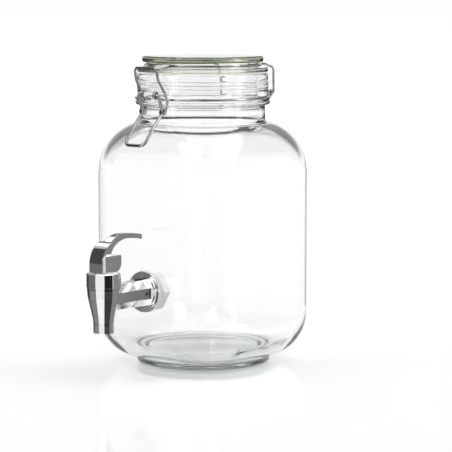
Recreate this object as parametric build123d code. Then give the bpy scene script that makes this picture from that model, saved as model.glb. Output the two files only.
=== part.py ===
from build123d import *
from math import cos, pi, radians, sin, sqrt
import os

# Clip-top glass drinks dispenser: a square glass jar with a wire clip closure and a push-lever tap.
# Millimetres. +Z is up, -Y is the tap side, and the origin is the centre of the foot's standing plane.

# ---- Jar ----
jar_width = 142.0  # flat to flat
jar_corner = 35.0  # upright corner radius in plan
jar_wall = 3.5
heel_relief = 1.0  # the heel's round is this much smaller than the upright corners
shoulder_rise = 42.0
shoulder_steps = 7
shoulder_sweep = 84.0  # degrees of the quarter ellipse that the dome follows
neck_squareness = 1.0  # the dome's corner radius is this much less than its half width at the neck
dome_seam = 9.0  # above the dome's spring, where the body's and the shoulder's glass are told apart
base_seam = 40.0  # above the table, where the base's and the body's glass are told apart
foot_radius = 55.0
foot_height = 6.0
foot_ring = 8.0
foot_recess = 1.2
base_glass = 4.0
body_height = 192.0
mouth_radius = 47.0
neck_wall = 4.0
neck_height = 14.5
neck_flare = 5.0
neck_flare_drop = 7.0
neck_flare_rise = 4.0
rim_step = 2.6  # of the rim beyond the neck
bead_rise = 1.6  # of the bead beyond the rim
bead_height = 4.5
rim_height = 21.0
rim_round = 1.2
rib_rise = 0.6
rib_section = 1.0
rib_drops = (8.0, 11.0)  # below the rim's top

# ---- Lid and its gasket ----
gasket_thick = 1.2
gasket_inset = 0.6
plug_setback = 4.0  # of the plug inside the mouth
plug_depth = 2.0
plug_fit = 0.3
plug_wall = 4.0
lid_top_glass = 5.2
lid_flange_inset = 0.1
lid_flange_thick = 3.3
lid_groove_depth = 7.5
lid_groove_height = 4.5
lid_top_inset = 3.9  # of the top disc inside the flange
lid_top_thick = 5.0
lid_round = 1.5
lid_flange_round = 0.8

# ---- Wire closure ----
wire = 2.1
lever_wire = 2.7
wire_gap = 0.3  # between a wire and the glass that it lies round
pin_clearance = 0.06  # radial, in each wire eye
bend = 4.0
end_bend = 3.15  # of the tongue's and the hook's corners
band_bend = 4.2
arc_start = 5.0  # degrees, where the band's half ring passes a point that fixes its way round
hinge_x = 27.0
hinge_reach = 5.9  # of the hinge behind the rim
hinge_side_gap = 1.4  # between the lid wire's leg and the band's eye
hinge_pin_spare = 0.95  # each pin's end past its eye
leg_drop = 3.6  # of the lid wire behind the lid
leg_run = 12.5
tongue_x = 11.0
tongue_knee_reach = 2.4  # in front of the rim, as are the next three
tongue_tip_reach = 14.7
front_eye_reach = 13.7
front_run_reach = 4.9
front_run_room = 0.7  # least straight run between the band's bend and its slope
tongue_drop = 2.3
front_eye_rise = 1.4  # of the eye's underside above the band
lever_arm_x = 10.5
lever_side_gap = 0.5
lever_pin_spare = 0.55
lever_boss_radius = 3.0
lever_boss_width = 3.0
lever_bend = 5.0
link_side_gap = 0.35
link_top_x = 11.5
link_pin_spare = 0.4
link_pin_bend = 1.3
hinge_pin_bend = 2.2
lever_pin_bend = 2.0
link_low = (5.3, -13.5)  # (y, z) of the link pivot from the lever pivot
link_heel = (8.0, -5.0)
link_waist = (5.4, 2.2)
link_shin = (-1.6, 12.5)
hook_gap = 2.2  # the open pivot: the hook bar stands this far in front of the tongue's tip
hook_rise = 1.3
lever_knee = (-7.5, -27.0)
lever_tip = (-17.2, -39.0)

# ---- Tap ----
tap_height = 65.0
tap_reach = 50.0  # from the jar's face to the spout's axis
tap_hole_clearance = 0.5
spout_sides = 12
spout_outline = (  # (height from the inlet's axis, radius)
    (-27.0, 8.3),
    (-19.0, 8.3),
    (-14.5, 8.9),
    (-6.5, 10.8),
    (1.0, 12.5),
    (7.0, 13.1),
    (9.0, 13.1),
)
outlet_radius = 6.0
outlet_length = 14.0
seat_radius = 5.4
seat_drop = 7.0  # seat plane below the inlet's axis
chamber_radius = 8.0
inlet_radius = 5.0
bonnet_radius = 13.5
bonnet_height = 11.6
bonnet_spigot_radius = 10.0
bonnet_spigot_length = 4.0
bonnet_edge = 0.8
spring_pocket_radius = 6.0
spring_pocket_depth = 6.0
fit_gap = 0.05
shank_sides = 8
shank_radius = 10.8
shank_end_radius = 11.5
shank_joint = 28.0  # from the spout's axis to the joint with the shank
socket_radius = 7.5
socket_depth = 6.0
tail_radius = 7.8
tail_gap = 0.1
tail_spare = 2.0
flange_steps = ((16.5, 1.3), (15.0, 1.1), (13.3, 1.1))  # (radius, thickness) from the jar outwards
flange_edge = 0.35
outer_gasket_radius = 16.8
outer_gasket_thick = 2.5
inner_gasket_radius = 15.5
inner_gasket_thick = 2.0
nut_radius = 16.4
nut_thick = 8.0
nut_edge = 0.7
screw_radius = 1.5
screw_length = 2.4
screw_setback = 5.0
screw_socket = 0.8
screw_socket_depth = 1.2
shank_seal_section = 1.6
shank_groove = 2.0

# ---- Valve ----
stem_radius = 2.5
valve_head_radius = 7.0
valve_head_thick = 2.2
seal_radius = 7.2
seal_thick = 1.8
nib_radius = 1.6
nib_length = 0.4
retainer_radius = 6.2
retainer_thick = 1.0
spring_radius = 4.6
spring_wire = 0.8
spring_turns = 5
stem_seal_section = 1.8
gland_height = 5.0
gland_groove = 2.0
knuckle_radius = 3.6
knuckle_half = 5.5
pivot_rise = 7.1  # lever pivot above the bonnet's top
pin_radius = 1.25

# ---- Lever ----
lever_half = 8.0
lever_cheek = 2.2
lever_float = 0.3  # between the lever's flat underside and the bonnet
lever_front = 9.0  # from the pivot to the front face
lever_back = 12.0
lever_cheek_height = 13.0
lever_cam_radius = 7.0
lever_corner = 1.2
hood_half = 6.8
hood_thick = 2.6
hood_rise = 5.5  # straight front face above the lever's underside
hood_reach = 14.5  # how far the hood curls back
hood_height = 18.0  # and up
arm_half = 3.6
arm_upper = ((-3.5, 4.0), (2.0, 14.5), (11.5, 20.4), (24.0, 22.0), (39.5, 20.0))
arm_lower = ((38.5, 15.8), (26.0, 18.0), (15.5, 16.4), (7.8, 11.5), (4.5, 4.0))
arm_end = (40.6, 17.7)
paddle_half = 7.4
paddle_start = 22.0
paddle_full = 33.0
paddle_round = 4.0
slot_front = 6.3
slot_top = 6.0

# ---- Levels and places worked out from the sizes above ----
heel_round = jar_corner - heel_relief
neck_radius = mouth_radius + neck_wall
rim_radius = neck_radius + rim_step
bead_radius = rim_radius + bead_rise
plug_radius = mouth_radius - plug_setback
lid_recess_radius = plug_radius - plug_wall
lid_flange_radius = rim_radius - lid_flange_inset
lid_groove_radius = lid_flange_radius - lid_groove_depth
lid_top_radius = lid_flange_radius - lid_top_inset
shoulder_z = foot_height + body_height
spring_z = shoulder_z - shoulder_rise
dome_seam_z = spring_z + dome_seam
bead_low_z = shoulder_z + neck_height
bead_top_z = bead_low_z + bead_height
rim_z = bead_top_z + rim_height
floor_z = foot_height + base_glass
neck_z = shoulder_z + neck_flare_rise
flange_z = rim_z + gasket_thick
groove_z = flange_z + lid_flange_thick
lid_disc_z = groove_z + lid_groove_height
lid_top_z = lid_disc_z + lid_top_thick
lid_wire_z = groove_z + lid_groove_height / 2
lid_wire_radius = lid_groove_radius + wire_gap + wire / 2
band_z = bead_top_z + wire / 2 + fit_gap
band_radius = rim_radius + wire_gap + wire / 2
hinge_eye = wire + pin_clearance  # mean radius of an eye round a pin of its own wire
hinge_y = rim_radius + hinge_reach
hinge_eye_x = hinge_x - wire - hinge_side_gap
hinge_pin_end_x = hinge_eye_x - wire / 2 - hinge_pin_spare
leg_knee_y = hinge_y - leg_run
tongue_knee_y = -rim_radius - tongue_knee_reach
tongue_tip_y = -rim_radius - tongue_tip_reach
front_eye_y = -rim_radius - front_eye_reach
front_eye_x = lever_arm_x - lever_wire / 2 - wire / 2 - lever_side_gap
band_run_reach = sqrt((band_radius + bend) ** 2 - (front_eye_x + bend) ** 2)
front_run_y = -max(rim_radius + front_run_reach, band_run_reach + front_run_room)
lever_pin_end_x = front_eye_x - wire / 2 - lever_pin_spare
link_leg_x = lever_arm_x + lever_boss_width / 2 + wire / 2 + link_side_gap
link_pin_end_x = lever_arm_x - lever_boss_width / 2 - link_pin_spare
hinge_z = band_z + hinge_eye
front_eye = lever_wire / 2 + pin_clearance + wire / 2
pivot_a = Vector(0, front_eye_y, band_z + front_eye_rise + front_eye)
pivot_b = pivot_a + Vector(0, *link_low)
hook = Vector(0, tongue_tip_y - hook_gap, lid_wire_z - tongue_drop + hook_rise)

face_y = -jar_width / 2
spout_y = face_y - tap_reach
joint_y = spout_y + shank_joint
flange_back_y = face_y - outer_gasket_thick
flange_thick = sum(thick for radius, thick in flange_steps)
flange_face_y = flange_back_y - flange_thick
inner_face_y = face_y + jar_wall
nut_face_y = inner_face_y + inner_gasket_thick
nut_end_y = nut_face_y + nut_thick
tail_end_y = nut_end_y + tail_spare
spout_low_z = tap_height + spout_outline[0][0]
spout_top_z = tap_height + spout_outline[-1][0]
seat_z = tap_height - seat_drop
valve_head_z = seat_z + seal_thick
retainer_z = valve_head_z + valve_head_thick
spring_low_z = retainer_z + retainer_thick
spigot_low_z = spout_top_z - bonnet_spigot_length
spring_top_z = spigot_low_z + spring_pocket_depth
bonnet_top_z = spout_top_z + bonnet_height
lever_pivot_z = bonnet_top_z + pivot_rise
gland_z = spring_top_z + gland_height


# ---- Shared shapes ----
def post(radius, low, high, y=0.0):
    """An upright cylinder between two heights."""
    return Pos(0, y, (low + high) / 2) * Cylinder(radius, high - low)


def rod_y(radius, back, front, height):
    """A cylinder along Y between two places, at a height."""
    return Pos(0, (back + front) / 2, height) * Rot(90, 0, 0) * Cylinder(radius, abs(front - back))


def rod_x(radius, centre, half):
    """A cylinder along X, centred on a point and reaching half its length each way."""
    return Pos(*centre) * Rot(0, 90, 0) * Cylinder(radius, 2 * half)


def turned(points):
    """The solid turned about Z from a closed (radius, height) outline."""
    corners = [(radius, 0, height) for radius, height in points]
    return revolve(make_face(Polyline(*corners, close=True)), Axis.Z)


def polygon_y(radius, sides, y):
    """A regular polygon with flats up, down and to the sides, square to Y at the tap's height."""
    where = Plane(origin=(0, y, tap_height), x_dir=(1, 0, 0), z_dir=(0, 1, 0))
    return where * RegularPolygon(radius, sides, rotation=180 / sides)


def tube(path, diameter):
    """A round wire along a path."""
    start = Plane(origin=path @ 0, z_dir=path % 0)
    return sweep(start * Circle(diameter / 2), path)


def bow(centre, radius, start, end):
    """The short arc from start to end about a centre, level with start."""
    middle = ((start - centre) + (end - centre)).normalized() * radius + centre
    return Edge.make_three_point_arc(start, middle, end)


def ring_to_run(ring, run_x, height, side):
    """The arc that joins a level ring to a straight run along Y at run_x, on the +Y or the -Y side."""
    reach = sqrt((ring + bend) ** 2 - (run_x + bend) ** 2) * side
    centre = Vector(run_x + bend, reach, height)
    on_ring = Vector(centre.X, centre.Y, 0).normalized() * ring + Vector(0, 0, height)
    return centre, on_ring, Vector(run_x, reach, height)


def both_sides(half):
    """A half that ends on the plane X = 0, with its mirror image."""
    return half + mirror(half, Plane.YZ)


def rounded_block(width, corner, low, high, heel):
    """A square block with round upright corners and a rounded heel."""
    block = extrude(Pos(0, 0, low) * RectangleRounded(width, width, corner), high - low)
    return fillet(block.edges().group_by(Axis.Z)[0], heel)


def shoulder(width, corner, low, rise, top_half):
    """The dome that leads from the square body to the round neck: a quarter ellipse in every direction."""
    sections = []
    for step in range(shoulder_steps + 1):
        angle = radians(step * shoulder_sweep / shoulder_steps)
        share = (cos(angle) - cos(radians(shoulder_sweep))) / (1 - cos(radians(shoulder_sweep)))
        half = top_half + (width / 2 - top_half) * share
        radius = top_half - neck_squareness + (corner - top_half + neck_squareness) * share
        height = low + rise * sin(angle) / sin(radians(shoulder_sweep))
        sections.append(Pos(0, 0, height) * RectangleRounded(2 * half, 2 * half, radius))
    return loft(sections)


# ---- Jar ----
def inside_block():
    """The hollow of the base and the body, with its rounded heel."""
    width = jar_width - 2 * jar_wall
    return rounded_block(width, jar_corner - jar_wall, floor_z, spring_z, heel_round - jar_wall)


def outside_dome():
    return shoulder(jar_width, jar_corner, spring_z, shoulder_rise, neck_radius)


def inside_dome():
    width = jar_width - 2 * jar_wall
    return shoulder(width, jar_corner - jar_wall, spring_z, shoulder_rise - jar_wall, mouth_radius)


def layer(low, high):
    """A block wider than the jar, between two heights."""
    return Pos(0, 0, (low + high) / 2) * Box(2 * jar_width, 2 * jar_width, high - low)


def jar_base():
    """The foot, the floor and the heel."""
    base = rounded_block(jar_width, jar_corner, foot_height, spring_z, heel_round)
    base &= layer(0, base_seam)
    foot = post(foot_radius, 0, floor_z + base_glass)
    base += fillet(foot.edges().group_by(Axis.Z)[0], foot_recess)
    base -= inside_block()
    return base - post(foot_radius - foot_ring, 0, foot_recess)


def glass_jar():
    """The flat-sided body, from the heel to just above the spring of the dome."""
    body = rounded_block(jar_width, jar_corner, foot_height, spring_z, heel_round) + outside_dome()
    body &= layer(base_seam, dome_seam_z)
    body -= inside_block() + inside_dome()
    return body - rod_y(tail_radius + tap_hole_clearance, face_y, inner_face_y, tap_height)


def jar_shoulder():
    """The dome that closes the body in to the neck, and the flare at the neck's foot."""
    flare_low = Vector(neck_radius + neck_flare, 0, shoulder_z - neck_flare_drop)
    flare_top = Vector(neck_radius, 0, neck_z)
    outline = [
        Line((0, 0, flare_low.Z), flare_low),
        Edge.make_tangent_arc(flare_top, Vector(0, 0, -1), flare_low),
        Line(flare_top, (0, 0, neck_z)),
        Line((0, 0, neck_z), (0, 0, flare_low.Z)),
    ]
    dome = outside_dome() + revolve(make_face(outline), Axis.Z)
    dome &= layer(dome_seam_z, neck_z)
    dome -= inside_dome()
    return dome - post(mouth_radius, spring_z, neck_z)


def jar_neck():
    """The round neck of the same glass: its wall, bead, ribbed rim and rounded lip."""
    bead_mid_z = bead_low_z + bead_height / 2
    bead_low = Vector(rim_radius, 0, bead_low_z)
    bead_top = Vector(rim_radius, 0, bead_top_z)
    outline = [
        Polyline((mouth_radius, 0, neck_z), (neck_radius, 0, neck_z), (neck_radius, 0, bead_low_z)),
        Line((neck_radius, 0, bead_low_z), bead_low),
        ThreePointArc(bead_low, (bead_radius, 0, bead_mid_z), bead_top),
        Polyline(bead_top, (rim_radius, 0, rim_z), (mouth_radius, 0, rim_z)),
        Line((mouth_radius, 0, rim_z), (mouth_radius, 0, neck_z)),
    ]
    edges = [edge for part in outline for edge in part.edges()]
    neck = revolve(make_face(edges), Axis.Z)
    for drop in rib_drops:
        rib = Pos(0, 0, rim_z - drop) * Torus(rim_radius + rib_rise - rib_section, rib_section)
        neck += rib
    lips = neck.edges().filter_by(GeomType.CIRCLE).group_by(Axis.Z)[-1]
    return fillet(lips, rim_round)


def glass_lid():
    plug_z = flange_z - plug_depth
    recess_z = lid_top_z - lid_top_glass
    lid = turned([
        (0, recess_z),
        (lid_recess_radius, recess_z),
        (lid_recess_radius, plug_z),
        (plug_radius, plug_z),
        (plug_radius, flange_z),
        (lid_flange_radius, flange_z),
        (lid_flange_radius, groove_z),
        (lid_groove_radius, groove_z),
        (lid_groove_radius, lid_disc_z),
        (lid_top_radius, lid_disc_z),
        (lid_top_radius, lid_top_z),
        (0, lid_top_z),
    ])
    lid = fillet(circles(lid, lid_top_radius), lid_round)
    return fillet(circles(lid, lid_flange_radius), lid_flange_round)


def circles(solid, radius):
    """A solid's circular edges of one radius."""
    rings = solid.edges().filter_by(GeomType.CIRCLE)
    return rings.filter_by(lambda edge: abs(edge.radius - radius) < fit_gap)


def lid_gasket():
    outer = post(lid_flange_radius - gasket_inset, rim_z, flange_z)
    return outer - post(plug_radius + plug_fit, rim_z, flange_z)


# ---- Wire closure ----
def lid_wire():
    back_centre, back_ring, back_run = ring_to_run(lid_wire_radius, hinge_x, lid_wire_z, 1)
    front_centre, front_ring, front_run = ring_to_run(lid_wire_radius, tongue_x, lid_wire_z, -1)
    tip_z = lid_wire_z - tongue_drop
    leg = FilletPolyline(
        (hinge_pin_end_x, hinge_y, hinge_z),
        (hinge_x, hinge_y, hinge_z),
        (hinge_x, hinge_y, lid_wire_z - leg_drop),
        (hinge_x, leg_knee_y, lid_wire_z),
        back_run,
        radius=[hinge_pin_bend, bend, bend],
    )
    tongue = FilletPolyline(
        front_run,
        (tongue_x, tongue_knee_y, lid_wire_z),
        (tongue_x, tongue_tip_y, tip_z),
        (0, tongue_tip_y, tip_z),
        radius=[bend, end_bend],
    )
    ring_middle = Vector(lid_wire_radius, 0, lid_wire_z)
    edges = list(leg.edges())
    edges.append(bow(back_centre, bend, back_run, back_ring))
    edges.append(Edge.make_three_point_arc(back_ring, ring_middle, front_ring))
    edges.append(bow(front_centre, bend, front_ring, front_run))
    edges.extend(tongue.edges())
    return both_sides(tube(Wire(edges, sequenced=True), wire))


def eye_arc(x, y, z, radius, first, last):
    """An open loop about X through a point, from one angle to another in degrees."""
    angles = [radians(first), radians((first + last) / 2), radians(last)]
    return Edge.make_three_point_arc(*[Vector(x, y + radius * cos(a), z + radius * sin(a)) for a in angles])


def neck_band():
    centre, on_ring, run = ring_to_run(band_radius, front_eye_x, band_z, -1)
    eye_low_z = pivot_a.Z - front_eye
    slope = FilletPolyline(
        run,
        (front_eye_x, front_run_y, band_z),
        (front_eye_x, front_run_y - band_bend, eye_low_z),
        (front_eye_x, pivot_a.Y, eye_low_z),
        radius=[band_bend, band_bend],
    )
    ring_back = Vector(0, band_radius, band_z)
    angle = radians(arc_start)
    ring_middle = Vector(band_radius * cos(angle), band_radius * sin(angle), band_z)
    edges = [Edge.make_three_point_arc(ring_back, ring_middle, on_ring)]
    edges.append(bow(centre, bend, on_ring, run))
    edges.extend(slope.edges())
    edges.append(eye_arc(front_eye_x, pivot_a.Y, pivot_a.Z, front_eye, 270, 90))
    edges.append(eye_arc(front_eye_x, pivot_a.Y, pivot_a.Z, front_eye, 90, 0))
    band = tube(Wire(edges, sequenced=True), wire)
    root_y = sqrt(band_radius**2 - hinge_eye_x**2)
    hinge_run = [Edge.make_line((hinge_eye_x, root_y, band_z), (hinge_eye_x, hinge_y, band_z))]
    hinge_run.append(eye_arc(hinge_eye_x, hinge_y, hinge_z, hinge_eye, -90, 90))
    hinge_run.append(eye_arc(hinge_eye_x, hinge_y, hinge_z, hinge_eye, 90, 180))
    band += tube(Wire(hinge_run, sequenced=True), wire)
    return both_sides(band)


def latch_link():
    path = FilletPolyline(
        (link_pin_end_x, pivot_b.Y, pivot_b.Z),
        (link_leg_x, pivot_b.Y, pivot_b.Z),
        (link_leg_x, pivot_a.Y + link_heel[0], pivot_a.Z + link_heel[1]),
        ((link_leg_x + link_top_x) / 2, pivot_a.Y + link_waist[0], pivot_a.Z + link_waist[1]),
        (link_top_x, pivot_a.Y + link_shin[0], pivot_a.Z + link_shin[1]),
        (link_top_x, hook.Y, hook.Z),
        (0, hook.Y, hook.Z),
        radius=[link_pin_bend, bend, bend, bend, end_bend],
    )
    return both_sides(tube(path, wire))


def latch_lever():
    path = FilletPolyline(
        (lever_pin_end_x, pivot_a.Y, pivot_a.Z),
        (lever_arm_x, pivot_a.Y, pivot_a.Z),
        (lever_arm_x, pivot_b.Y, pivot_b.Z),
        (lever_arm_x, pivot_a.Y + lever_knee[0], pivot_a.Z + lever_knee[1]),
        (lever_arm_x, pivot_a.Y + lever_tip[0], pivot_a.Z + lever_tip[1]),
        (0, pivot_a.Y + lever_tip[0], pivot_a.Z + lever_tip[1]),
        radius=[lever_pin_bend, lever_bend, lever_bend * 2, lever_bend],
    )
    lever = both_sides(tube(path, lever_wire))
    for side in (-1, 1):
        boss = rod_x(lever_boss_radius, (side * lever_arm_x, pivot_b.Y, pivot_b.Z), lever_boss_width / 2)
        lever += fillet(boss.edges(), wire_gap)
    for side in (-1, 1):
        eye = (side * lever_arm_x, pivot_b.Y, pivot_b.Z)
        lever -= rod_x(wire / 2 + pin_clearance, eye, lever_boss_width)
    return lever


# ---- Tap ----
def tap_body():
    sections = [
        Pos(0, spout_y, tap_height + rise) * RegularPolygon(radius, spout_sides, rotation=180 / spout_sides)
        for rise, radius in spout_outline
    ]
    body = loft(sections, ruled=True)
    stub = extrude(polygon_y(shank_radius, shank_sides, spout_y), shank_joint)
    body += stub
    body -= post(bonnet_radius + fit_gap, spout_top_z, bonnet_top_z, spout_y)
    body -= post(outlet_radius, spout_low_z, spout_low_z + outlet_length, spout_y)
    body -= post(seat_radius, spout_low_z, seat_z, spout_y)
    body -= post(chamber_radius, seat_z, spout_top_z, spout_y)
    body -= post(bonnet_spigot_radius, spigot_low_z, spout_top_z, spout_y)
    body -= rod_y(inlet_radius, spout_y, joint_y, tap_height)
    body -= rod_y(socket_radius, joint_y - socket_depth, joint_y, tap_height)
    return body


def bonnet_collar():
    rim = RegularPolygon(bonnet_radius, spout_sides, rotation=180 / spout_sides)
    collar = extrude(Pos(0, spout_y, spout_top_z) * rim, bonnet_height)
    collar = chamfer(collar.faces().sort_by(Axis.Z)[-1].edges(), bonnet_edge)
    collar += post(bonnet_spigot_radius - fit_gap, spigot_low_z, spout_top_z, spout_y)
    collar -= post(spring_pocket_radius, spigot_low_z, spring_top_z, spout_y)
    collar -= post(stem_radius + fit_gap, spring_top_z, bonnet_top_z, spout_y)
    groove = stem_radius + fit_gap + stem_seal_section
    return collar - post(groove, gland_z - gland_groove / 2, gland_z + gland_groove / 2, spout_y)


def tap_shank():
    near = polygon_y(shank_radius, shank_sides, joint_y)
    far = polygon_y(shank_end_radius, shank_sides, flange_face_y)
    shank = loft([near, far], ruled=True)
    spigot_end = joint_y - socket_depth + tap_hole_clearance
    spigot = rod_y(socket_radius - fit_gap, spigot_end, joint_y, tap_height)
    seal_y = joint_y - socket_depth / 2
    half = shank_groove / 2
    groove = rod_y(socket_radius, seal_y - half, seal_y + half, tap_height)
    groove -= rod_y(socket_radius - shank_seal_section, seal_y - half, seal_y + half, tap_height)
    spigot -= groove
    shank += spigot
    shank += rod_y(tail_radius, flange_face_y, tail_end_y, tap_height)
    shank -= rod_y(inlet_radius, spigot_end, tail_end_y, tap_height)
    return shank - screw_hole()


def screw_place():
    """The set screw's outer end, on the shank's +X flat."""
    flat = shank_radius * cos(pi / shank_sides)
    return flat, flange_face_y - screw_setback


def screw_hole():
    flat, y = screw_place()
    return rod_x(screw_radius, (flat, y, tap_height), screw_length)


def set_screw():
    flat, y = screw_place()
    half = screw_length / 2
    screw = rod_x(screw_radius - fit_gap, (flat - half, y, tap_height), half)
    socket = Plane(origin=(flat, y, tap_height), z_dir=(-1, 0, 0)) * RegularPolygon(screw_socket, 6)
    return screw - extrude(socket, screw_socket_depth)


def shank_o_ring():
    seal_y = joint_y - socket_depth / 2
    minor = shank_seal_section / 2 - fit_gap / 2
    ring = Torus(socket_radius - shank_seal_section / 2 - fit_gap / 2, minor)
    return Pos(0, seal_y, tap_height) * Rot(90, 0, 0) * ring


def flange_ring():
    y = flange_back_y
    ring = None
    for radius, thick in flange_steps:
        step = rod_y(radius, y, y - thick, tap_height)
        step = fillet(step.edges().group_by(Axis.Y)[0], flange_edge)
        ring = step if ring is None else ring + step
        y -= thick
    return ring - rod_y(tail_radius + tail_gap, flange_face_y, flange_back_y, tap_height)


def washer_y(radius, back, front):
    """A washer round the tap's tail."""
    return rod_y(radius, back, front, tap_height) - rod_y(tail_radius + tail_gap, back, front, tap_height)


def outer_gasket():
    return washer_y(outer_gasket_radius, face_y, flange_back_y)


def inner_gasket():
    return washer_y(inner_gasket_radius, inner_face_y, nut_face_y)


def hex_nut():
    where = Plane(origin=(0, nut_face_y, tap_height), x_dir=(1, 0, 0), z_dir=(0, 1, 0))
    nut = extrude(where * RegularPolygon(nut_radius, 6), nut_thick)
    nut = chamfer(nut.faces().sort_by(Axis.Y)[-1].edges(), nut_edge)
    return nut - rod_y(tail_radius + tail_gap, nut_face_y, nut_end_y, tap_height)


# ---- Valve ----
def valve_stem():
    stem = post(valve_head_radius, valve_head_z, retainer_z, spout_y)
    stem += post(stem_radius, retainer_z, lever_pivot_z, spout_y)
    stem += post(nib_radius, seat_z - nib_length, valve_head_z, spout_y)
    stem += rod_x(knuckle_radius, (0, spout_y, lever_pivot_z), knuckle_half)
    return stem - rod_x(pin_radius + fit_gap, (0, spout_y, lever_pivot_z), knuckle_half)


def seat_seal():
    seal = post(seal_radius, seat_z, valve_head_z, spout_y)
    return seal - post(nib_radius + fit_gap, seat_z, valve_head_z, spout_y)


def spring_retainer():
    ring = post(retainer_radius, retainer_z, spring_low_z, spout_y)
    return ring - post(stem_radius + fit_gap, retainer_z, spring_low_z, spout_y)


def valve_spring():
    height = spring_top_z - spring_low_z - spring_wire - 2 * fit_gap
    coil = Helix(pitch=height / spring_turns, height=height, radius=spring_radius)
    coil = Pos(0, spout_y, spring_low_z + spring_wire / 2 + fit_gap) * coil
    return tube(coil, spring_wire)


def stem_o_ring():
    minor = stem_seal_section / 2 - fit_gap
    return Pos(0, spout_y, gland_z) * Torus(stem_radius + fit_gap + stem_seal_section / 2, minor)


def lever_pin():
    return rod_x(pin_radius, (0, spout_y, lever_pivot_z), lever_half - fit_gap)


# ---- Lever ----
def from_pivot(y, z):
    """A point in the lever's middle plane, from its pivot."""
    return (0, spout_y + y, lever_pivot_z + z)


def lever_yoke():
    """The block that straddles the stem, with its cam corner at the lower back."""
    low = lever_float - pivot_rise
    front = hood_thick - lever_front
    centre = from_pivot((lever_back + front) / 2, low + lever_cheek_height / 2)
    yoke = Pos(*centre) * Box(2 * lever_half, lever_back - front, lever_cheek_height)
    back = yoke.edges().filter_by(Axis.X).group_by(Axis.Y)[-1].sort_by(Axis.Z)
    yoke = fillet(back[0], lever_cam_radius)
    back = yoke.edges().filter_by(Axis.X).group_by(Axis.Y)[-1].sort_by(Axis.Z)
    return fillet(back[-1], lever_corner)


def lever_hood():
    """The curved plate in front: upright at first, then curling back over the top."""
    low = lever_float - pivot_rise
    rows = []
    for inset in (0, hood_thick):
        foot = from_pivot(-lever_front + inset, low)
        spring = from_pivot(-lever_front + inset, low + hood_rise)
        crown = from_pivot(-lever_front + hood_reach, low + hood_rise + hood_height - inset)
        curl = EllipticalCenterArc(
            center=(hood_reach - lever_front, low + hood_rise),
            x_radius=hood_reach - inset,
            y_radius=hood_height - inset,
            start_angle=90,
            arc_size=90,
        )
        rows.append((foot, spring, crown, side_plane() * curl))
    (foot, spring, crown, curl), (inner_foot, inner_spring, inner_crown, inner_curl) = rows
    edges = [
        *Line(foot, spring).edges(),
        *curl.edges(),
        *Line(crown, inner_crown).edges(),
        *inner_curl.edges(),
        *Line(inner_spring, inner_foot).edges(),
        *Line(inner_foot, foot).edges(),
    ]
    return extrude(make_face(edges), hood_half, both=True)


def side_plane():
    """The lever's middle plane: its x is +Y and its y is +Z, from the pivot."""
    return Plane(origin=from_pivot(0, 0), x_dir=(0, 1, 0), z_dir=(1, 0, 0))


def lever_arm():
    """The slim arm that rises from the yoke and sweeps back, widening to a thumb paddle."""
    upper = Spline(*[from_pivot(*point) for point in arm_upper])
    lower = Spline(*[from_pivot(*point) for point in arm_lower])
    tip = ThreePointArc(upper @ 1, from_pivot(*arm_end), lower @ 0)
    root = Line(lower @ 1, upper @ 0)
    profile = make_face([*upper.edges(), *tip.edges(), *lower.edges(), *root.edges()])
    side = extrude(profile, paddle_half, both=True)
    start = arm_upper[0][0]
    outline = [
        (-arm_half, start),
        (arm_half, start),
        (arm_half, paddle_start),
        (paddle_half, paddle_full),
        (paddle_half, arm_end[0]),
        (-paddle_half, arm_end[0]),
        (-paddle_half, paddle_full),
        (-arm_half, paddle_start),
    ]
    above = Plane(origin=(0, spout_y, lever_pivot_z))
    plan = above * make_face(Polyline(*outline, close=True))
    band = extrude(plan, hood_height + hood_rise)
    ends = band.edges().filter_by(Axis.Z).group_by(Axis.Y)[-1]
    band = fillet(ends, paddle_round)
    return side & band


def tap_lever():
    lever = lever_yoke() + lever_hood() + lever_arm()
    slot_low = from_pivot(-slot_front, lever_float - pivot_rise)
    slot_high = from_pivot(lever_back, slot_top)
    slot = Pos(0, (slot_low[1] + slot_high[1]) / 2, (slot_low[2] + slot_high[2]) / 2)
    slot *= Box(2 * (lever_half - lever_cheek), slot_high[1] - slot_low[1], slot_high[2] - slot_low[2])
    lever -= slot
    return lever - rod_x(pin_radius + fit_gap / 2, (0, spout_y, lever_pivot_z), lever_half)


# ---- Write every sub-part ----
subparts = {
    "jar_base": jar_base,
    "glass_jar": glass_jar,
    "jar_shoulder": jar_shoulder,
    "jar_neck": jar_neck,
    "glass_lid": glass_lid,
    "lid_gasket": lid_gasket,
    "lid_wire": lid_wire,
    "neck_band": neck_band,
    "latch_link": latch_link,
    "latch_lever": latch_lever,
    "tap_body": tap_body,
    "bonnet_collar": bonnet_collar,
    "tap_shank": tap_shank,
    "set_screw": set_screw,
    "shank_o_ring": shank_o_ring,
    "flange_ring": flange_ring,
    "outer_gasket": outer_gasket,
    "inner_gasket": inner_gasket,
    "hex_nut": hex_nut,
    "valve_stem": valve_stem,
    "seat_seal": seat_seal,
    "spring_retainer": spring_retainer,
    "valve_spring": valve_spring,
    "stem_o_ring": stem_o_ring,
    "tap_lever": tap_lever,
    "lever_pin": lever_pin,
}

os.makedirs("parts", exist_ok=True)
for name, make in subparts.items():
    export_step(make(), f"parts/{name}.step")
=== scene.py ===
from math import cos, pi, radians, sin, sqrt, tan

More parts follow.
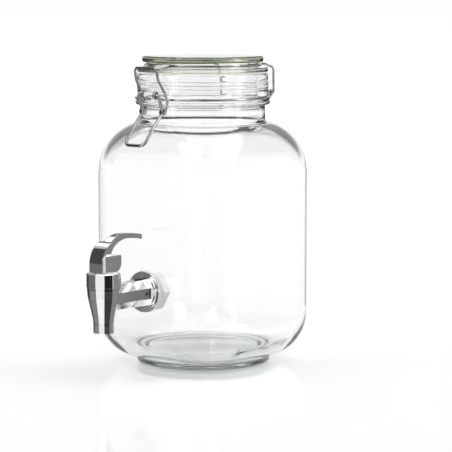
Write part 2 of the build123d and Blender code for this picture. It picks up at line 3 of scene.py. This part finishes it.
import bpy
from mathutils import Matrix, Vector


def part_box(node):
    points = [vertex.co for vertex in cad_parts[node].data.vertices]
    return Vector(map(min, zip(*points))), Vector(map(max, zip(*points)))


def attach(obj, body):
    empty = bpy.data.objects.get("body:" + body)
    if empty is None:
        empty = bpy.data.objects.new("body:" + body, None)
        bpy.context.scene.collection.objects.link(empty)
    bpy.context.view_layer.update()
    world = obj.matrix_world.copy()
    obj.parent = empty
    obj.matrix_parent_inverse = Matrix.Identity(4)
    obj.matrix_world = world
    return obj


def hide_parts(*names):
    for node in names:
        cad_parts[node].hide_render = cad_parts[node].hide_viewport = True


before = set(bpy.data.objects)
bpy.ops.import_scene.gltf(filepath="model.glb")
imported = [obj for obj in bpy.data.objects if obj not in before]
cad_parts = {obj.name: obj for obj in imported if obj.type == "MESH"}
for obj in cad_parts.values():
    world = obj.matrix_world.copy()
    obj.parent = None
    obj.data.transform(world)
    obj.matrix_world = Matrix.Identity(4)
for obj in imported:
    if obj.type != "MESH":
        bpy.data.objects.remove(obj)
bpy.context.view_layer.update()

# A clip-top glass drinks dispenser. The lengths named here are in millimetres; every mesh is made in metres.
MM = 0.001


# ---- Places from the frame ----
def box_mm(node):
    """A CAD node's corners in millimetres."""
    low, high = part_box(node)
    return low / MM, high / MM


body_half = box_mm("glass_jar")[1].x
face_y = box_mm("glass_jar")[0].y
rim_z = box_mm("jar_neck")[1].z
spout_front_y = box_mm("tap_body")[0].y

# ---- Sizes that the box of a node doesn't give ----
wall = 3.5
base_glass = 4.0
foot_radius = 55.0
foot_height = 6.0
heel_round = 34.0
corner_radius = 35.0
shoulder_rise = 42.0
shoulder_sweep = 84.0  # degrees of the shoulder's quarter ellipse that are used
neck_squareness = 1.0  # how much flatter than a circle the shoulder's top ring is
neck_radius = 51.0
neck_height = 14.5
bead_height = 4.5
bead_reach = 1.6
rim_radius = 53.6
rim_height = 21.0
rib_drops = (11.0, 8.0)
rib_half_height = 1.0
rib_reach = 0.55
lip_round = 1.2
mouth_radius = 47.0
tap_height = 65.0
tap_hole_radius = 8.3

# how far each point of the foot's outline stands in from foot_radius, and its height
FOOT_OUTLINE = (
    (11.0, 1.6), (9.0, 1.4), (7.4, 0.4), (6.0, 0.0), (3.0, 0.0), (1.4, 0.3),
    (0.4, 1.2), (0.0, 2.4), (0.1, 3.2), (0.6, 3.9), (0.6, 4.5), (0.1, 5.2),
)
# the flare at the neck's foot: height over the shoulder, and how far it stands out from neck_radius
NECK_FLARE = ((-0.9, 2.4), (0.2, 1.3), (1.6, 0.5), (3.6, 0.1), (8.0, 0.0), (neck_height - 0.8, 0.0))
# depths of the rings down the mouth's wall
MOUTH_DROPS = (4, 9, 14, 19, 24, 30, 36, 41)

bead_top = rim_z - rim_height
bead_low = bead_top - bead_height
shoulder_top = bead_low - neck_height
shoulder_low = shoulder_top - shoulder_rise


# ---- Meshes ----
def linked_mesh(name, verts, faces):
    """A mesh object in the scene, from points in millimetres."""
    mesh = bpy.data.meshes.new(name)
    mesh.from_pydata([Vector(v) * MM for v in verts], [], faces)
    piece = bpy.data.objects.new(name, mesh)
    bpy.context.scene.collection.objects.link(piece)
    return piece


def lofted(rings):
    """Vertices and faces through rings of as many points each; the ends are closed by a fan to the ring's middle."""
    count = len(rings[0])
    verts = [point for ring in rings for point in ring]
    faces = []
    for low in range(len(rings) - 1):
        high = low + 1
        for k in range(count):
            after = (k + 1) % count
            faces.append((low * count + k, low * count + after, high * count + after, high * count + k))
    for ring, flip in ((0, True), (len(rings) - 1, False)):
        middle = len(verts)
        verts.append(sum((Vector(p) for p in rings[ring]), Vector()) / count)
        for k in range(count):
            a, b = ring * count + k, ring * count + (k + 1) % count
            faces.append((b, a, middle) if flip else (a, b, middle))
    return verts, faces


def rounded_square(half, corner, angle):
    """How far a rounded square reaches from its middle at an angle."""
    c, s = abs(cos(angle)), abs(sin(angle))
    c, s = max(c, s), min(c, s)
    inner = half - corner
    if s / c <= inner / half:
        return half / c
    along = inner * (c + s)
    return along + sqrt(max(along**2 - 2 * inner**2 + corner**2, 0))


RING_POINTS = 192
RING_ANGLES = [2 * pi * k / RING_POINTS for k in range(RING_POINTS)]
SIDE_STEPS = 10


def round_ring(z, radius):
    """A level circle of points."""
    return [(radius * cos(a), radius * sin(a), z) for a in RING_ANGLES]


def block_ring(z, half, corner):
    """A level rounded square of points."""
    reaches = [rounded_square(half, corner, a) for a in RING_ANGLES]
    return [(r * cos(a), r * sin(a), z) for r, a in zip(reaches, RING_ANGLES)]


def heel_rings(low, rise, radius, half, corner, steps):
    """From the round foot up to the square body, as a quarter ellipse in every direction."""
    rings = []
    for k in range(steps + 1):
        bend = k / steps * pi / 2
        share = sin(bend)
        z = low + rise * (1 - cos(bend))
        reaches = [radius + (rounded_square(half, corner, a) - radius) * share for a in RING_ANGLES]
        rings.append([(reach * cos(a), reach * sin(a), z) for reach, a in zip(reaches, RING_ANGLES)])
    return rings


def side_rings(low, high, half, corner):
    """The square body's straight sides between two heights, without their ends."""
    return [block_ring(low + (high - low) * k / SIDE_STEPS, half, corner) for k in range(1, SIDE_STEPS)]


def dome_rings(low, rise, half, corner, top_half, steps):
    """From the square body up to the round neck, as most of a quarter ellipse in every direction."""
    rings = []
    sweep = radians(shoulder_sweep)
    for k in range(steps + 1):
        bend = k / steps * sweep
        share = (cos(bend) - cos(sweep)) / (1 - cos(sweep))
        z = low + rise * sin(bend) / sin(sweep)
        top_corner = top_half - neck_squareness * share
        rings.append(block_ring(z, top_half + (half - top_half) * share, top_corner + (corner - top_corner) * share))
    return rings


def bead_rings():
    """The round bead under the rim."""
    rings = [round_ring(bead_low + 0.1, neck_radius + 0.5)]
    for angle in (-80, -55, -30, 0, 30, 55, 80):
        bend = radians(angle)
        rings.append(round_ring(bead_low + bead_height / 2 * (1 + sin(bend)), rim_radius + bead_reach * cos(bend)))
    rings.append(round_ring(bead_top + 0.3, rim_radius))
    return rings


def rim_rings():
    """The rim's wall with its two raised ribs."""
    rings = [round_ring(bead_top + rise, rim_radius) for rise in (2.0, 5.0)]
    for drop in rib_drops:
        centre = rim_z - drop
        rings.append(round_ring(centre - 1.3 * rib_half_height, rim_radius))
        for angle in (-60, -25, 25, 60):
            bend = radians(angle)
            rings.append(round_ring(centre + rib_half_height * sin(bend), rim_radius + rib_reach * cos(bend)))
    rings += [round_ring(rim_z - drop, rim_radius) for drop in (6.7, 3.5)]
    return rings


def lip_rings(radius, side, angles):
    """A rounded edge of the lip; side is 1 for the outer edge and -1 for the inner one."""
    rings = []
    for angle in angles:
        bend = radians(angle)
        z = rim_z - lip_round * (1 - sin(bend))
        rings.append(round_ring(z, radius - side * lip_round * (1 - cos(bend))))
    return rings


def outside_rings():
    """The glass's outer face, from the middle of the foot up to the lip."""
    rings = [round_ring(z, foot_radius - inset) for inset, z in FOOT_OUTLINE]
    rings += heel_rings(foot_height, heel_round, foot_radius, body_half, corner_radius, 22)
    rings += side_rings(foot_height + heel_round, shoulder_low, body_half, corner_radius)
    # the flare takes the place of the dome's last two rings
    rings += dome_rings(shoulder_low, shoulder_rise, body_half, corner_radius, neck_radius, 26)[:-2]
    rings += [round_ring(shoulder_top + rise, neck_radius + flare) for rise, flare in NECK_FLARE]
    return rings + bead_rings() + rim_rings() + lip_rings(rim_radius, 1, (15, 35, 60, 90))


def inside_rings():
    """The glass's inner face, from the lip down to the middle of the floor."""
    half, corner = body_half - wall, corner_radius - wall
    floor_z = foot_height + base_glass
    rise = heel_round - wall
    rings = heel_rings(floor_z, rise, foot_radius - 2 * wall, half, corner, 18)
    rings += side_rings(floor_z + rise, shoulder_low, half, corner)
    rings += dome_rings(shoulder_low, shoulder_rise - wall, half, corner, mouth_radius, 24)
    mouth = [round_ring(rim_z - drop, mouth_radius) for drop in MOUTH_DROPS]
    # smaller rings towards the middle keep the floor's mesh even
    floor_rings = [[(x * share, y * share, z) for x, y, z in rings[0]] for share in (0.8, 0.6, 0.4, 0.2)]
    return lip_rings(mouth_radius, -1, (90, 60, 35, 15, 0)) + mouth + rings[::-1] + floor_rings


def cut_tap_hole(jar):
    """Bore the front wall for the tap's tail."""
    rings = []
    for y in (face_y - wall, face_y + 2 * wall):
        rings.append([(tap_hole_radius * cos(a), y, tap_height + tap_hole_radius * sin(a)) for a in RING_ANGLES[::3]])
    bore = linked_mesh("bore", *lofted(rings))
    cut = jar.modifiers.new("bore", "BOOLEAN")
    cut.operation = "DIFFERENCE"
    cut.solver = "EXACT"
    cut.object = bore
    graph = bpy.context.evaluated_depsgraph_get()
    bored = bpy.data.meshes.new_from_object(jar.evaluated_get(graph))
    jar.modifiers.clear()
    jar.data = bored
    bpy.data.objects.remove(bore)


def jar_shell(material):
    """The pressed jar: foot, rounded-square body, ribbed neck and rolled lip, as one closed glass wall."""
    jar = linked_mesh("glass_jar_wall", *lofted(outside_rings() + inside_rings()))
    jar.data.validate()
    jar.data.shade_smooth()
    jar.data.materials.append(material)
    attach(jar, "jar")
    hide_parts("jar_base", "glass_jar", "jar_shoulder", "jar_neck")
    cut_tap_hole(jar)


# ---- Materials ----
def principled(name, **inputs):
    """A new material and its shader, with the named inputs set; an underscore stands for a space."""
    material = bpy.data.materials.new(name)
    material.use_nodes = True
    shader = material.node_tree.nodes["Principled BSDF"]
    for key, value in inputs.items():
        shader.inputs[key.replace("_", " ")].default_value = value
    return material, shader


def noise(material, scale, detail=3.0, stretch=(1, 1, 1)):
    """A noise texture in the piece's own space: scale is in features per millimetre."""
    nodes, links = material.node_tree.nodes, material.node_tree.links
    place = nodes.new("ShaderNodeTexCoord")
    sizes = nodes.new("ShaderNodeMapping")
    sizes.inputs["Scale"].default_value = [scale / MM * s for s in stretch]
    texture = nodes.new("ShaderNodeTexNoise")
    texture.inputs["Scale"].default_value = 1.0
    texture.inputs["Detail"].default_value = detail
    links.new(place.outputs["Object"], sizes.inputs["Vector"])
    links.new(sizes.outputs["Vector"], texture.inputs["Vector"])
    return texture.outputs["Fac"]


def ranged(material, value, low, high):
    """A noise value, which keeps mostly within 0.3 to 0.7, mapped to a range."""
    node = material.node_tree.nodes.new("ShaderNodeMapRange")
    node.inputs["From Min"].default_value = 0.3
    node.inputs["From Max"].default_value = 0.7
    node.inputs["To Min"].default_value = low
    node.inputs["To Max"].default_value = high
    material.node_tree.links.new(value, node.inputs["Value"])
    return node.outputs["Result"]


def roughened(material, shader, scale, low, high, stretch=(1, 1, 1)):
    """Roughness that wanders between two values."""
    value = ranged(material, noise(material, scale, stretch=stretch), low, high)
    material.node_tree.links.new(value, shader.inputs["Roughness"])


def bumped(material, shader, scale, height, stretch=(1, 1, 1), detail=3.0):
    """A fine bump, its height in millimetres."""
    node = material.node_tree.nodes.new("ShaderNodeBump")
    node.inputs["Distance"].default_value = height * MM
    links = material.node_tree.links
    links.new(noise(material, scale, detail, stretch), node.inputs["Height"])
    links.new(node.outputs["Normal"], shader.inputs["Normal"])


def tinted(material, shader, scale, first, second, stretch=(1, 1, 1)):
    """A base colour that drifts between two."""
    node = material.node_tree.nodes.new("ShaderNodeMix")
    node.data_type = "RGBA"
    node.inputs["A"].default_value = (*first, 1)
    node.inputs["B"].default_value = (*second, 1)
    links = material.node_tree.links
    value = ranged(material, noise(material, scale, stretch=stretch), 0, 1)
    links.new(value, node.inputs["Factor"])
    links.new(node.outputs["Result"], shader.inputs["Base Color"])


def glass(name, tint, density, wave):
    """Pressed glass: it passes lamp light, drinks a little colour with depth and has a faint waviness."""
    material, shader = principled(name, Base_Color=(1, 1, 1, 1), Roughness=0.0, IOR=1.5, Transmission_Weight=1.0)
    bumped(material, shader, 0.05, wave, detail=1.0)
    nodes, links = material.node_tree.nodes, material.node_tree.links
    out = nodes["Material Output"]
    path = nodes.new("ShaderNodeLightPath")
    clear = nodes.new("ShaderNodeBsdfTransparent")
    clear.inputs["Color"].default_value = (0.93, 0.94, 0.93, 1)
    mix = nodes.new("ShaderNodeMixShader")
    links.new(path.outputs["Is Shadow Ray"], mix.inputs["Fac"])
    links.new(shader.outputs["BSDF"], mix.inputs[1])
    links.new(clear.outputs["BSDF"], mix.inputs[2])
    links.new(mix.outputs["Shader"], out.inputs["Surface"])
    depth = nodes.new("ShaderNodeVolumeAbsorption")
    depth.inputs["Color"].default_value = (*tint, 1)
    depth.inputs["Density"].default_value = density
    links.new(depth.outputs["Volume"], out.inputs["Volume"])
    return material


def chrome(name, colour):
    """Polished plating with a very faint haze and orange peel."""
    material, shader = principled(name, Base_Color=(*colour, 1), Metallic=1.0, Roughness=0.05)
    roughened(material, shader, 0.15, 0.03, 0.09)
    bumped(material, shader, 0.25, 0.006)
    return material


def steel_wire(name, dark, light):
    """Bright drawn wire, finely pitted, whose colour drifts between two."""
    material, shader = principled(name, Base_Color=(*light, 1), Metallic=1.0, Roughness=0.1)
    roughened(material, shader, 0.8, 0.05, 0.14)
    tinted(material, shader, 0.3, dark, light)
    bumped(material, shader, 3.0, 0.01)
    return material


def steel(name, colour):
    """Turned or stamped steel."""
    material, shader = principled(name, Base_Color=(*colour, 1), Metallic=1.0, Roughness=0.3)
    roughened(material, shader, 1.0, 0.2, 0.4, stretch=(1, 1, 8))
    bumped(material, shader, 2.0, 0.01, stretch=(1, 1, 8))
    return material


def silicone(name, colour):
    """Pale silicone rubber."""
    material, shader = principled(name, Base_Color=(*colour, 1), Roughness=0.4, IOR=1.41, Sheen_Weight=0.05)
    roughened(material, shader, 0.8, 0.32, 0.5)
    bumped(material, shader, 2.0, 0.015)
    return material


def plastic(name, colour, rough):
    """Moulded plastic with a fine spark texture."""
    material, shader = principled(
        name, Base_Color=(*colour, 1), Roughness=rough, Subsurface_Weight=0.15, Subsurface_Scale=0.002
    )
    tinted(material, shader, 0.2, [c * 0.93 for c in colour], colour)
    roughened(material, shader, 1.5, rough - 0.08, rough + 0.1)
    bumped(material, shader, 3.0, 0.02)
    return material


def rubber(name, colour):
    """Black seal rubber or black oxide."""
    material, shader = principled(name, Base_Color=(*colour, 1), Roughness=0.6)
    roughened(material, shader, 2.0, 0.5, 0.75)
    bumped(material, shader, 4.0, 0.02)
    return material


jar_glass = glass("jar_glass", (0.62, 0.70, 0.67), 13.0, 0.02)
lid_glass = glass("lid_glass", (0.62, 0.65, 0.52), 30.0, 0.02)
tap_chrome = chrome("tap_chrome", (0.82, 0.82, 0.83))
wire_steel = steel_wire("wire_steel", (0.27, 0.27, 0.265), (0.4, 0.4, 0.395))
clear_silicone = silicone("clear_silicone", (0.88, 0.88, 0.87))
nut_white = plastic("nut_white", (0.93, 0.93, 0.92), 0.35)
plain_steel = steel("plain_steel", (0.55, 0.55, 0.56))
black_rubber = rubber("black_rubber", (0.02, 0.02, 0.02))
black_oxide = rubber("black_oxide", (0.03, 0.03, 0.035))

# which CAD nodes wear each material
FINISH = {
    lid_glass: ["glass_lid"],
    tap_chrome: ["tap_body", "bonnet_collar", "tap_shank", "flange_ring", "tap_lever"],
    wire_steel: ["lid_wire", "neck_band", "latch_link", "latch_lever"],
    clear_silicone: ["lid_gasket", "outer_gasket", "inner_gasket", "seat_seal"],
    nut_white: ["hex_nut"],
    plain_steel: ["valve_stem", "spring_retainer", "valve_spring", "lever_pin"],
    black_rubber: ["shank_o_ring", "stem_o_ring"],
    black_oxide: ["set_screw"],
}
for material, nodes in FINISH.items():
    for node in nodes:
        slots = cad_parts[node].data.materials
        slots.clear()
        slots.append(material)

jar_shell(jar_glass)

# how far each cast or moulded piece's edges are rounded
EDGE_ROUNDS = {"tap_lever": 0.5, "tap_body": 0.25, "bonnet_collar": 0.3, "tap_shank": 0.3, "hex_nut": 0.5}
for node, width in EDGE_ROUNDS.items():
    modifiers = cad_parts[node].modifiers
    weld = modifiers.new("weld", "WELD")
    weld.merge_threshold = 0.002 * MM
    edge = modifiers.new("edge", "BEVEL")
    edge.width = width * MM
    edge.segments = 3
    edge.limit_method = "ANGLE"
    edge.angle_limit = radians(20)
    edge.harden_normals = True


# ---- Stage, light and camera ----
# Stage sizes are in metres, and every azimuth is in degrees round from the tap.
CAMERA_AZIMUTH = 40.0
CAMERA_DISTANCE = 1.7
CAMERA_HEIGHT = 0.30
CAMERA_TILT = 6.32
CAMERA_ASIDE = 0.019
MIDDLE = Vector((0, -0.02, 0.12))
TAP_MIDDLE = Vector((0, spout_front_y * MM + 0.013, 0))
FLOOR_REACH = 200.0
CARD_ROUGHNESS = 0.9
WEDGE_START = 0.02
WEDGE_LIFT = 0.0008

# cards round the tap: name, azimuth, half angle, distance, height, grey
TAP_CARDS = (
    ("dark_right", 73, 21, 0.3, 0.4, 0.01),
    ("grey_right", 139, 24, 0.048, 0.14, 0.28),
    ("grey_left", -48, 21, 0.3, 0.092, 0.17),
    ("dark_left", -100, 22, 0.3, 0.4, 0.05),
)
# cards behind the jar: name, azimuth
JAR_CARDS = (("back_left", 188), ("back_right", 252))
# rectangular lamps: name, azimuth from the camera, distance, height, width, tall, power
SOFTBOXES = (("key", -55, 1.5, 0.9, 0.6, 1.0, 10), ("fill", 70, 1.5, 0.7, 0.4, 1.2, 6))
# wide lamps: name, azimuth from the camera, elevation, spread, strength
SKY_LAMPS = (
    ("sky_left", -60, 50, 50, 1.1),
    ("sky_right", 80, 55, 60, 0.8),
    ("sky_back", 180, 65, 60, 0.7),
)
# the studio's brightness by the sine of the elevation
SKY_GREYS = ((0.0, 1.0), (0.1, 1.0), (0.26, 0.3), (0.55, 0.22), (0.8, 0.8), (1.0, 0.9))


def around(azimuth, distance, height):
    """A point round the object: azimuth 0 is in front of the tap, and 90 is on the +X side."""
    angle = radians(azimuth)
    return Vector((sin(angle) * distance, -cos(angle) * distance, height))


def flat_piece(name, corners, grey, rough):
    """A flat stage panel."""
    mesh = bpy.data.meshes.new(name)
    mesh.from_pydata(corners, [], [(0, 1, 2, 3)])
    panel = bpy.data.objects.new(name, mesh)
    bpy.context.scene.collection.objects.link(panel)
    material, _ = principled(name, Base_Color=(grey, grey, grey, 1), Roughness=rough)
    panel.data.materials.append(material)
    return panel


def floor():
    """A plain pale floor that reaches the horizon."""
    corners = [(x * FLOOR_REACH, y * FLOOR_REACH, 0) for x, y in ((-1, -1), (1, -1), (1, 1), (-1, 1))]
    flat_piece("floor", corners, 0.95, 0.1)


def only_in_reflections(panel):
    """Hide the panel from the camera, soft light, glass and shadows."""
    panel.visible_camera = False
    panel.visible_diffuse = False
    panel.visible_transmission = False
    panel.visible_shadow = False


def only_in_falling_reflections(panel):
    """Show the panel to falling reflections alone, so that the floor, whose reflections rise, never mirrors it."""
    only_in_reflections(panel)
    material = panel.data.materials[0]
    nodes, links = material.node_tree.nodes, material.node_tree.links
    geometry = nodes.new("ShaderNodeNewGeometry")
    parts = nodes.new("ShaderNodeSeparateXYZ")
    rising = nodes.new("ShaderNodeMath")
    rising.operation = "LESS_THAN"
    rising.inputs[1].default_value = 0.0
    clear = nodes.new("ShaderNodeBsdfTransparent")
    mix = nodes.new("ShaderNodeMixShader")
    links.new(geometry.outputs["Incoming"], parts.inputs["Vector"])
    links.new(parts.outputs["Z"], rising.inputs[0])
    links.new(rising.outputs["Value"], mix.inputs["Fac"])
    links.new(nodes["Principled BSDF"].outputs["BSDF"], mix.inputs[1])
    links.new(clear.outputs["BSDF"], mix.inputs[2])
    links.new(mix.outputs["Shader"], nodes["Material Output"].inputs["Surface"])


def upright_card(name, centre, azimuth, half_angle, distance, low, high, grey):
    """An upright card round a centre."""
    left, right = azimuth - half_angle, azimuth + half_angle
    corners = [around(left, distance, low), around(right, distance, low)]
    corners += [around(right, distance, high), around(left, distance, high)]
    return flat_piece(name, [centre + c for c in corners], grey, CARD_ROUGHNESS)


def floor_wedge(name, centre, azimuth, half_angle, distance, grey):
    """A wedge just above the floor, for the spout's tapered facets."""
    left, right = azimuth - half_angle, azimuth + half_angle
    corners = [around(left, WEDGE_START, WEDGE_LIFT), around(right, WEDGE_START, WEDGE_LIFT)]
    corners += [around(right, distance, WEDGE_LIFT), around(left, distance, WEDGE_LIFT)]
    return flat_piece(name, [centre + c for c in corners], grey, CARD_ROUGHNESS)


def softbox(name, azimuth, distance, height, width, tall, power):
    """A rectangular lamp aimed at the object. It gives highlights and leaves the floor to the sky lamps."""
    lamp = bpy.data.lights.new(name, "AREA")
    lamp.shape = "RECTANGLE"
    lamp.size, lamp.size_y = width, tall
    lamp.energy = power
    holder = bpy.data.objects.new(name, lamp)
    holder.location = around(azimuth, distance, height)
    holder.rotation_euler = (MIDDLE - holder.location).to_track_quat("-Z", "Y").to_euler()
    holder.visible_diffuse = False
    bpy.context.scene.collection.objects.link(holder)


def sky_lamp(name, azimuth, elevation, spread, strength):
    """A wide soft lamp that lights the whole floor evenly."""
    lamp = bpy.data.lights.new(name, "SUN")
    lamp.angle = radians(spread)
    lamp.energy = strength
    holder = bpy.data.objects.new(name, lamp)
    far = around(azimuth, cos(radians(elevation)), sin(radians(elevation)))
    holder.rotation_euler = (-far).to_track_quat("-Z", "Y").to_euler()
    bpy.context.scene.collection.objects.link(holder)


def studio_world():
    """A soft pale studio: bright near the horizon and overhead, with a darker band between for reflections."""
    world = bpy.data.worlds.new("studio")
    world.use_nodes = True
    bpy.context.scene.world = world
    nodes, links = world.node_tree.nodes, world.node_tree.links
    direction = nodes.new("ShaderNodeTexCoord")
    parts = nodes.new("ShaderNodeSeparateXYZ")
    links.new(direction.outputs["Generated"], parts.inputs["Vector"])
    ramp = nodes.new("ShaderNodeValToRGB")
    elements = ramp.color_ramp.elements
    for index, (place, grey) in enumerate(SKY_GREYS):
        stop = elements[index] if index < 2 else elements.new(place)
        stop.position = place
        stop.color = (grey, grey, grey, 1)
    links.new(parts.outputs["Z"], ramp.inputs["Fac"])
    links.new(ramp.outputs["Color"], nodes["Background"].inputs["Color"])
    nodes["Background"].inputs["Strength"].default_value = 1.0


def camera():
    """At the photograph's angle: round from the tap, a little above the lid, with a long lens."""
    azimuth = radians(CAMERA_AZIMUTH)
    lens = bpy.data.cameras.new("camera")
    lens.lens = 165
    lens.sensor_width = 36
    holder = bpy.data.objects.new("camera", lens)
    holder.location = around(CAMERA_AZIMUTH, CAMERA_DISTANCE, CAMERA_HEIGHT)
    aim_z = CAMERA_HEIGHT - CAMERA_DISTANCE * tan(radians(CAMERA_TILT))
    aim = Vector((cos(azimuth) * CAMERA_ASIDE, sin(azimuth) * CAMERA_ASIDE, aim_z))
    holder.rotation_euler = (aim - holder.location).to_track_quat("-Z", "Y").to_euler()
    bpy.context.scene.collection.objects.link(holder)
    bpy.context.scene.camera = holder


floor()
studio_world()
camera()
for name, azimuth, half_angle, distance, high, grey in TAP_CARDS:
    only_in_falling_reflections(
        upright_card(name + "_card", TAP_MIDDLE, azimuth, half_angle, distance, 0, high, grey)
    )
    only_in_falling_reflections(floor_wedge(name + "_wedge", TAP_MIDDLE, azimuth, half_angle, distance, grey))
only_in_reflections(upright_card("hood_card", TAP_MIDDLE, -46, 27, 0.3, 0.092, 0.9, 0.05))
for name, azimuth in JAR_CARDS:
    only_in_falling_reflections(upright_card(name, Vector(), azimuth, 17, 0.35, 0, 0.42, 0.03))
for name, azimuth, distance, height, width, tall, power in SOFTBOXES:
    softbox(name, CAMERA_AZIMUTH + azimuth, distance, height, width, tall, power)
for name, azimuth, elevation, spread, strength in SKY_LAMPS:
    sky_lamp(name, CAMERA_AZIMUTH + azimuth, elevation, spread, strength)
bpy.context.scene.view_settings.view_transform = "Standard"
